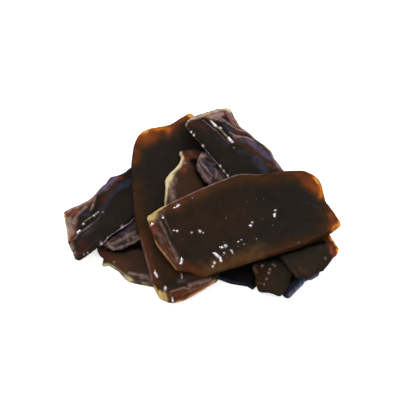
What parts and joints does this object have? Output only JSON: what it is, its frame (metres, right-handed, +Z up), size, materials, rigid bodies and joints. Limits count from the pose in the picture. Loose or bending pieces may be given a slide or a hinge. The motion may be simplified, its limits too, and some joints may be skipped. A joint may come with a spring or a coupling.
{
  "type": "dried wakame",
  "caption": "A loose heap of dried seaweed: dark, glossy, leathery slabs of frond lying over each other, amber where they are thin and buff at some cut rims.",
  "frame": {"origin": "centre of the heap's plan, on the surface that it lies on", "axes": "+Z up; +X along the heap's longest extent, to the right as seen from the front; +Y to the back of the heap, away from the long front slab"},
  "size_m": [0.0644, 0.054, 0.0117],
  "materials": {
    "front_slab": "glossy, near-black brown leathery frond piece; amber where thin at one corner and tip",
    "tall_slab": "glossy, dark brown leathery frond piece; amber where thin at one end",
    "back_slab": "glossy, dark brown with a mauve and slate-blue wavy band and a pale pinkish end",
    "left_slab": "glossy, near-black with a mauve wavy band and a pale pinkish end",
    "middle_slab": "glossy red-brown with a buff cut rim",
    "lower_left_slab": "glossy red-brown with a buff, slightly ragged rim",
    "lower_right_slab": "glossy near-black brown, amber at one corner, ragged at one side",
    "bottom_slab": "glossy dark brown with a slate-blue sheen in its folds",
    "dark_slab": "glossy black, in the shade of the heap",
    "lowest_slab": "glossy black with a blue-grey sheen on its edge",
    "left_scrap": "crumpled mauve-grey scrap, glossy",
    "back_scrap": "crumpled mauve-brown scrap, glossy"
  },
  "bodies": {
    "root": {"front_slab": "front_slab", "tall_slab": "tall_slab", "back_slab": "back_slab", "left_slab": "left_slab", "middle_slab": "middle_slab", "lower_left_slab": "lower_left_slab", "lower_right_slab": "lower_right_slab", "bottom_slab": "bottom_slab", "dark_slab": "dark_slab", "lowest_slab": "lowest_slab", "left_scrap": "left_scrap", "back_scrap": "back_scrap"}
  },
  "joints": []
}
